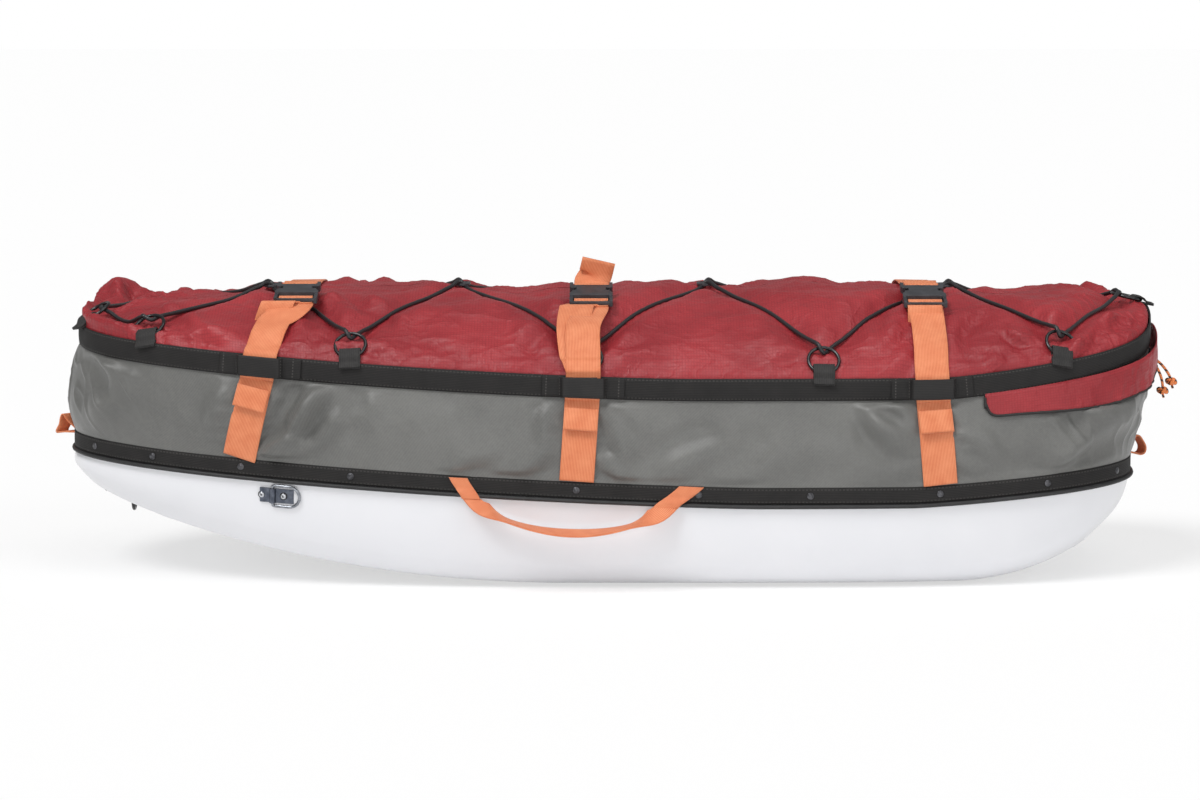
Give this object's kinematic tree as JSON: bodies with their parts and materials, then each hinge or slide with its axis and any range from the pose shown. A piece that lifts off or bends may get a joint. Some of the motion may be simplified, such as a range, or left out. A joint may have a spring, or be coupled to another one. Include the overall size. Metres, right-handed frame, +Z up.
{
  "type": "pulk sled",
  "caption": "Boat-shaped towing sled: moulded hull, riveted cloth bag with a stuffed, laced cover, buckled webbing straps, carry handles, lashing rings and a tow fitting.",
  "frame": {"origin": "centre of the bounding box seen from above, at the height of the runners' undersides", "axes": "+X towards the stern, -X towards the bow, +Z up, -Y the side with the buckles"},
  "size_m": [1.3092, 0.52, 0.3674],
  "materials": {
    "hull_plastic": "smooth moulded plastic, white",
    "black_webbing": "woven ribbed webbing, black",
    "orange_webbing": "woven ribbed webbing, orange",
    "grey_cloth": "coated woven cloth, dark grey",
    "red_cloth": "coated ripstop cloth, dark red",
    "elastic_cord": "braided elastic cord, black",
    "flecked_cord": "braided cord, orange flecked with black",
    "black_plastic": "moulded plastic, black",
    "bright_steel": "galvanised steel",
    "black_steel": "coated steel, glossy black"
  },
  "bodies": {
    "sled": {"hull": "hull_plastic", "runner_near": "hull_plastic", "runner_far": "hull_plastic", "rim_edging": "black_plastic", "lower_band": "black_webbing", "skirt": "grey_cloth", "top_band": "black_webbing", "cover": "red_cloth", "stern_flap": "red_cloth", "cord_ring_near_bow": "black_steel", "cord_ring_far_bow": "black_steel", "cord_ring_near_forward": "black_steel", "cord_ring_far_forward": "black_steel", "cord_ring_near_middle": "black_steel", "cord_ring_far_middle": "black_steel", "cord_ring_near_aft": "black_steel", "cord_ring_far_aft": "black_steel", "cord_ring_near_stern": "black_steel", "cord_ring_far_stern": "black_steel", "cord_ring_bow_centre": "black_steel", "cord_ring_stern_centre": "black_steel", "keeper_front_near": "black_webbing", "keeper_front_far": "black_webbing", "strap_front_near": "orange_webbing", "strap_front_far": "orange_webbing", "buckle_plug_front": "black_plastic", "keeper_middle_near": "black_webbing", "keeper_middle_far": "black_webbing", "strap_middle_near": "orange_webbing", "strap_middle_far": "orange_webbing", "buckle_plug_middle": "black_plastic", "keeper_rear_near": "black_webbing", "keeper_rear_far": "black_webbing", "strap_rear_near": "orange_webbing", "strap_rear_far": "orange_webbing", "buckle_plug_rear": "black_plastic", "lacing_near": "elastic_cord", "lacing_far": "elastic_cord", "centre_hook_1": "black_plastic", "centre_hook_2": "black_plastic", "centre_hook_3": "black_plastic", "centre_hook_4": "black_plastic", "lashing_plate_near": "bright_steel", "lashing_plate_far": "bright_steel", "bow_loop": "orange_webbing", "stern_loop": "orange_webbing", "tow_plate": "black_steel", "tow_loop": "black_webbing"},
    "housing_front": {"buckle_housing_front": "black_plastic"},
    "housing_middle": {"buckle_housing_middle": "black_plastic"},
    "housing_rear": {"buckle_housing_rear": "black_plastic"},
    "handle_near": {"carry_handle_near": "orange_webbing"},
    "handle_far": {"carry_handle_far": "orange_webbing"},
    "d_ring_near": {"lashing_ring_near": "bright_steel"},
    "d_ring_far": {"lashing_ring_far": "bright_steel"},
    "tow_d_ring": {"tow_ring": "black_steel"},
    "zip_runner_1": {"zip_slider_1": "black_plastic", "zip_pull_1": "flecked_cord"},
    "zip_runner_2": {"zip_slider_2": "black_plastic", "zip_pull_2": "flecked_cord"}
  },
  "joints": [
    {"name": "front_buckle_release", "type": "slide", "parent": "sled", "child": "housing_front", "axis": [0, -0.9841, -0.1776], "range_m": [0, 0.03], "deforming": ["strap_front_near"]},
    {"name": "middle_buckle_release", "type": "slide", "parent": "sled", "child": "housing_middle", "axis": [0, -0.9757, -0.2191], "range_m": [0, 0.03], "deforming": ["strap_middle_near"]},
    {"name": "rear_buckle_release", "type": "slide", "parent": "sled", "child": "housing_rear", "axis": [0, -0.9718, -0.236], "range_m": [0, 0.03], "deforming": ["strap_rear_near"]},
    {"name": "near_handle_swing", "type": "hinge", "parent": "sled", "child": "handle_near", "pos_m": [-0.167, -0.24204, 0.11046], "axis": [-0.9988, 0.021, 0.0438], "range_deg": [0, 120]},
    {"name": "far_handle_swing", "type": "hinge", "parent": "sled", "child": "handle_far", "pos_m": [-0.167, 0.24204, 0.11046], "axis": [0.9988, 0.021, -0.0438], "range_deg": [0, 120]},
    {"name": "near_lashing_ring_swing", "type": "hinge", "parent": "sled", "child": "d_ring_near", "pos_m": [-0.38292, -0.20565, 0.10791], "axis": [-0.0275, 0.1869, -0.982], "range_deg": [0, 160]},
    {"name": "far_lashing_ring_swing", "type": "hinge", "parent": "sled", "child": "d_ring_far", "pos_m": [-0.38292, 0.20565, 0.10791], "axis": [0.0275, 0.1869, 0.982], "range_deg": [0, 160]},
    {"name": "tow_ring_swing", "type": "hinge", "parent": "sled", "child": "tow_d_ring", "pos_m": [-0.56678, 0, 0.08528], "axis": [0, 1, 0], "range_deg": [-30, 30]},
    {"name": "zip_slide_1", "type": "slide", "parent": "sled", "child": "zip_runner_1", "axis": [-0.0598, -0.9618, -0.267], "range_m": [0, 0.02]},
    {"name": "zip_slide_2", "type": "slide", "parent": "sled", "child": "zip_runner_2", "axis": [0.0647, 0.9885, 0.1365], "range_m": [0, 0.02]}
  ]
}
